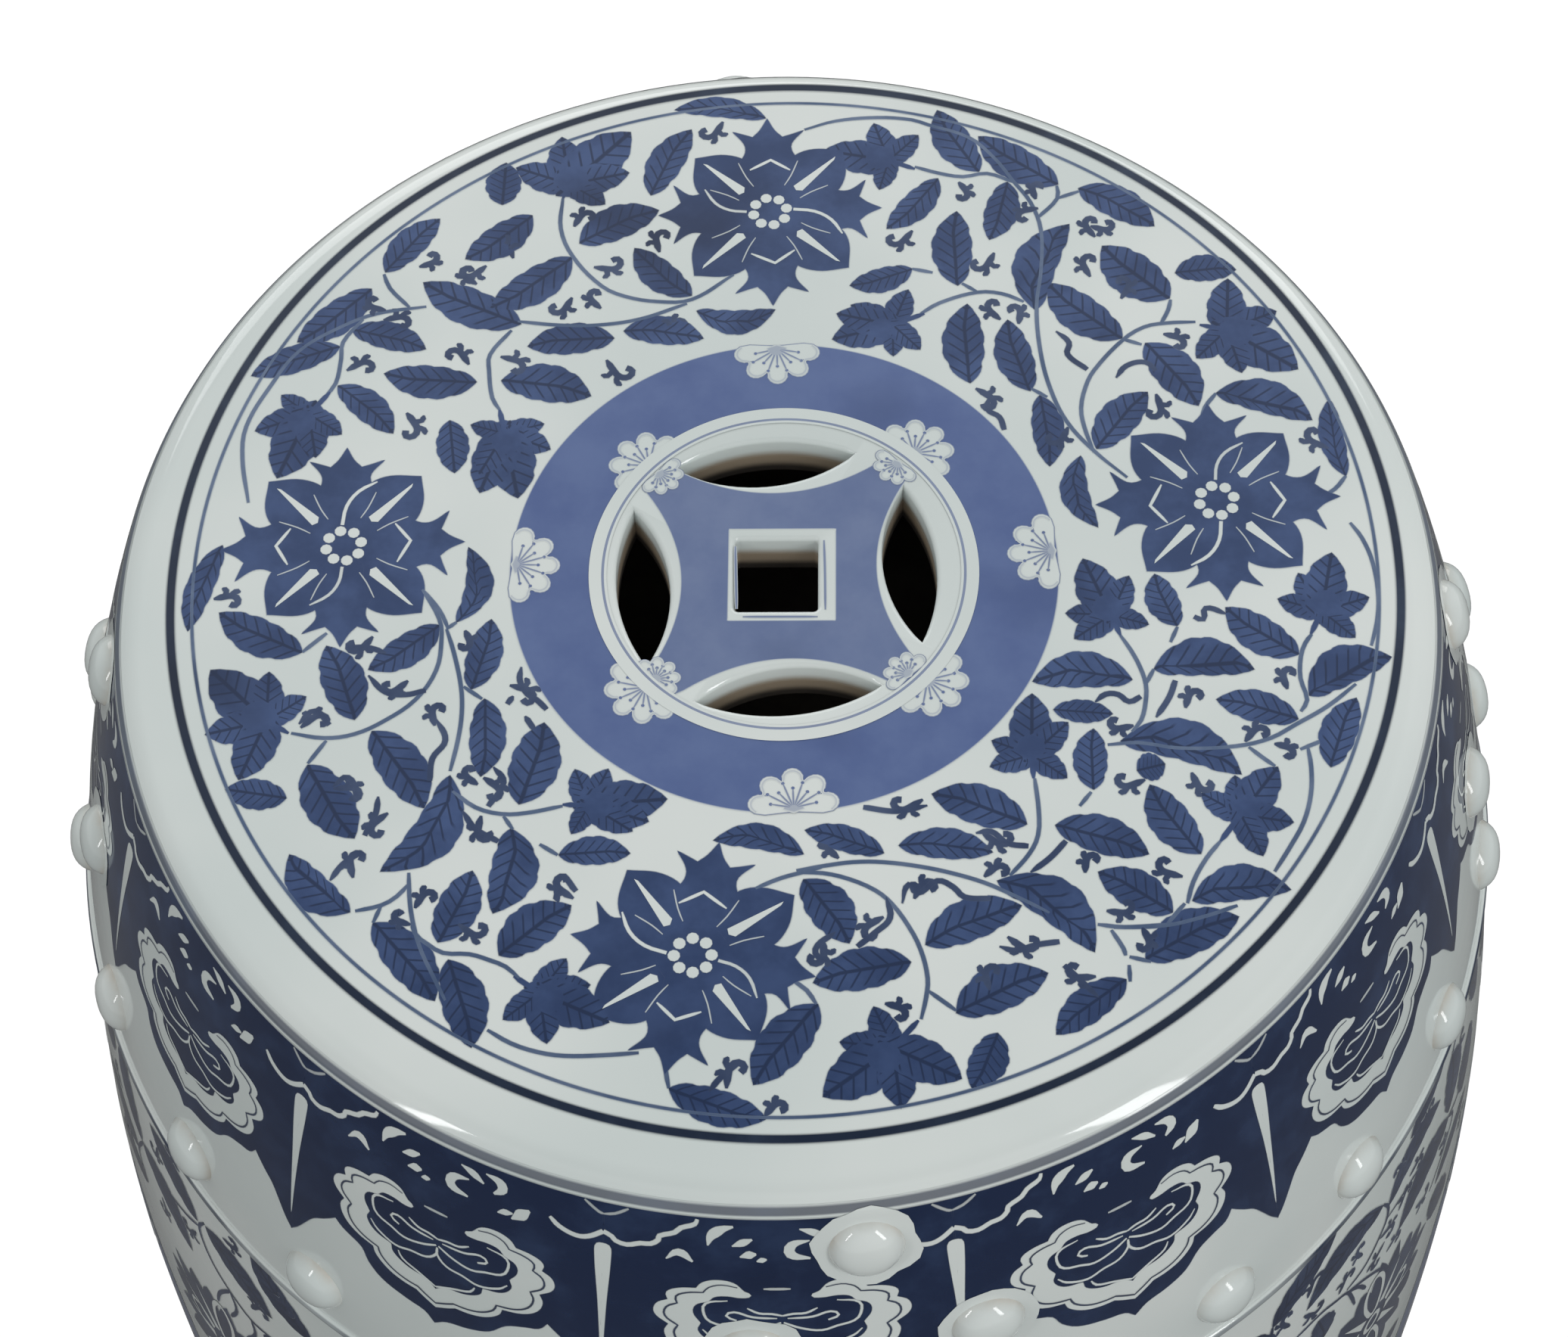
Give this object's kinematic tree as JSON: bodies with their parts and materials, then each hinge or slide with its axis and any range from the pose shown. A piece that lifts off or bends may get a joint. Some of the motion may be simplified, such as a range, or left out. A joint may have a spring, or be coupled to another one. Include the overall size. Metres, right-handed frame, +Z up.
{
  "type": "garden stool",
  "caption": "Hollow barrel-shaped porcelain garden stool with a flat pierced seat, pierced sides, applied bosses and underglaze blue scrolls.",
  "frame": {"origin": "centre of the base, on the surface that the stool stands on", "axes": "+Z up along the drum's axis; -Y to the front, the side nearest the camera in the picture; +X to its right"},
  "size_m": [0.3296, 0.33, 0.47],
  "materials": {
    "porcelain_glaze": "gloss",
    "cobalt_blue": "gloss",
    "boss_glaze": "gloss",
    "biscuit_foot": "matt"
  },
  "bodies": {
    "root": {"foot_ring": "biscuit_foot", "lower_shoulder_right": "porcelain_glaze", "lower_shoulder_back": "porcelain_glaze", "lower_shoulder_left": "porcelain_glaze", "lower_shoulder_front": "porcelain_glaze", "lower_barrel_right": "porcelain_glaze", "lower_barrel_back": "porcelain_glaze", "lower_barrel_left": "porcelain_glaze", "lower_barrel_front": "porcelain_glaze", "upper_barrel_right": "porcelain_glaze", "upper_barrel_back": "porcelain_glaze", "upper_barrel_left": "porcelain_glaze", "upper_barrel_front": "porcelain_glaze", "upper_shoulder_right": "porcelain_glaze", "upper_shoulder_back": "porcelain_glaze", "upper_shoulder_left": "porcelain_glaze", "upper_shoulder_front": "porcelain_glaze", "seat": "porcelain_glaze", "lower_ring_bosses": "boss_glaze", "lower_trio_bosses": "boss_glaze", "upper_ring_bosses": "boss_glaze", "upper_trio_bosses": "boss_glaze"}
  },
  "joints": []
}
